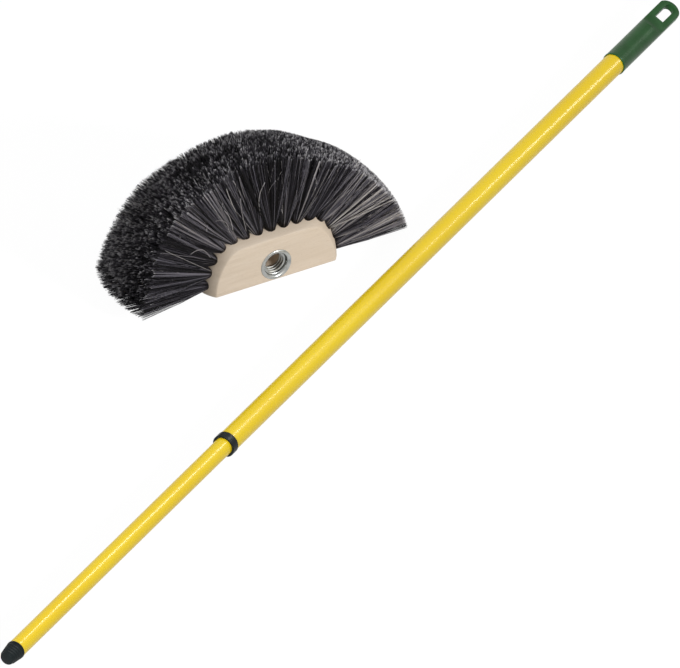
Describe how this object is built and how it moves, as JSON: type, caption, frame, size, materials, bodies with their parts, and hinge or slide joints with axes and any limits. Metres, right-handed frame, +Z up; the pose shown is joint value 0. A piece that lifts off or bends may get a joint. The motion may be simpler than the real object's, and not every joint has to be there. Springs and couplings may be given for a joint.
{
  "type": "cobweb brush",
  "caption": "Half-round cobweb brush head with black horsehair in a wooden block with a threaded insert, beside its telescopic handle.",
  "frame": {"origin": "middle of the whole set's footprint, on the floor", "axes": "+Z up, +Y along the handle from its threaded tip to its hanging cap, +X from the brush head to the handle"},
  "size_m": [0.2746, 1.3106, 0.141],
  "materials": {
    "painted_steel": "glossy yellow powder coat",
    "green_plastic": "satin moulded, dark green",
    "black_plastic": "satin moulded, black",
    "zinc_steel": "bright zinc plate",
    "beech": "raw sanded",
    "horsehair": "natural black hair, cut ends"
  },
  "bodies": {
    "handle": {"outer_tube": "painted_steel", "guide_collar": "black_plastic", "hang_cap": "green_plastic"},
    "lock": {"lock_sleeve": "black_plastic"},
    "inner": {"inner_tube": "painted_steel", "thread_tip": "black_plastic", "lock_stud": "black_plastic", "stop_washer": "zinc_steel", "stop_screw": "zinc_steel"},
    "head": {"head_block": "beech", "thread_insert": "zinc_steel", "anchors_front": "zinc_steel", "anchors_mid": "zinc_steel", "anchors_back": "zinc_steel", "tuft_front_01": "horsehair", "tuft_front_02": "horsehair", "tuft_front_03": "horsehair", "tuft_front_04": "horsehair", "tuft_front_05": "horsehair", "tuft_front_06": "horsehair", "tuft_front_07": "horsehair", "tuft_front_08": "horsehair", "tuft_front_09": "horsehair", "tuft_front_10": "horsehair", "tuft_front_11": "horsehair", "tuft_front_12": "horsehair", "tuft_front_13": "horsehair", "tuft_front_14": "horsehair", "tuft_front_15": "horsehair", "tuft_mid_01": "horsehair", "tuft_mid_02": "horsehair", "tuft_mid_03": "horsehair", "tuft_mid_04": "horsehair", "tuft_mid_05": "horsehair", "tuft_mid_06": "horsehair", "tuft_mid_07": "horsehair", "tuft_mid_08": "horsehair", "tuft_mid_09": "horsehair", "tuft_mid_10": "horsehair", "tuft_mid_11": "horsehair", "tuft_mid_12": "horsehair", "tuft_mid_13": "horsehair", "tuft_mid_14": "horsehair", "tuft_back_01": "horsehair", "tuft_back_02": "horsehair", "tuft_back_03": "horsehair", "tuft_back_04": "horsehair", "tuft_back_05": "horsehair", "tuft_back_06": "horsehair", "tuft_back_07": "horsehair", "tuft_back_08": "horsehair", "tuft_back_09": "horsehair", "tuft_back_10": "horsehair", "tuft_back_11": "horsehair", "tuft_back_12": "horsehair", "tuft_back_13": "horsehair", "tuft_back_14": "horsehair", "tuft_back_15": "horsehair"}
  },
  "joints": [
    {"name": "telescope", "type": "slide", "parent": "handle", "child": "lock", "axis": [0, -1, 0], "range_m": [-0.385, 0.37]},
    {"name": "twist_lock", "type": "hinge", "parent": "lock", "child": "inner", "pos_m": [0.12481, 0.18275, 0.0125], "axis": [0, 1, 0], "range_deg": [0, 270]},
    {"name": "head_lift", "type": "slide", "parent": "handle", "child": "head", "axis": [0, 0, 1], "range_m": [0, 0.3]}
  ]
}
